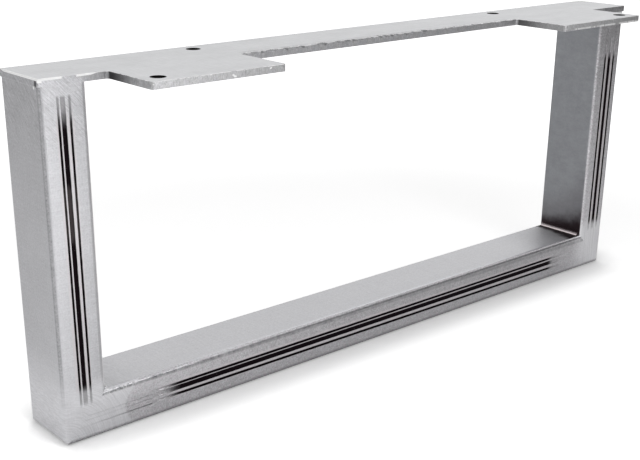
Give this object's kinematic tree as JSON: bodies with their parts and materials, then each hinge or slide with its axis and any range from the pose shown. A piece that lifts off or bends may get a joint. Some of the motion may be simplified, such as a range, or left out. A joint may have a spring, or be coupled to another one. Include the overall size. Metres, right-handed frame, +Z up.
{
  "type": "steel furniture leg",
  "caption": "Low open frame of grooved rectangular steel tube with a flat eared plate welded on top, drilled to screw under a piece of furniture.",
  "frame": {"origin": "on the floor, under the middle of the frame's length and the middle of the tube's depth", "axes": "+X along the leg from the left end to the right end, -Y to the front, where the plate's ears reach out, +Z up"},
  "size_m": [0.72, 0.12, 0.3],
  "materials": {
    "plate_steel": "raw, finely sanded, with cut edges",
    "tube_steel": "raw, brushed, with dark mill scale in the grooves",
    "weld_metal": "raw bead with heat tint beside it"
  },
  "bodies": {
    "root": {"mounting_plate": "plate_steel", "left_upright": "tube_steel", "right_upright": "tube_steel", "bottom_rail": "tube_steel", "left_corner_weld": "weld_metal", "right_corner_weld": "weld_metal", "left_plate_weld": "weld_metal", "right_plate_weld": "weld_metal"}
  },
  "joints": []
}
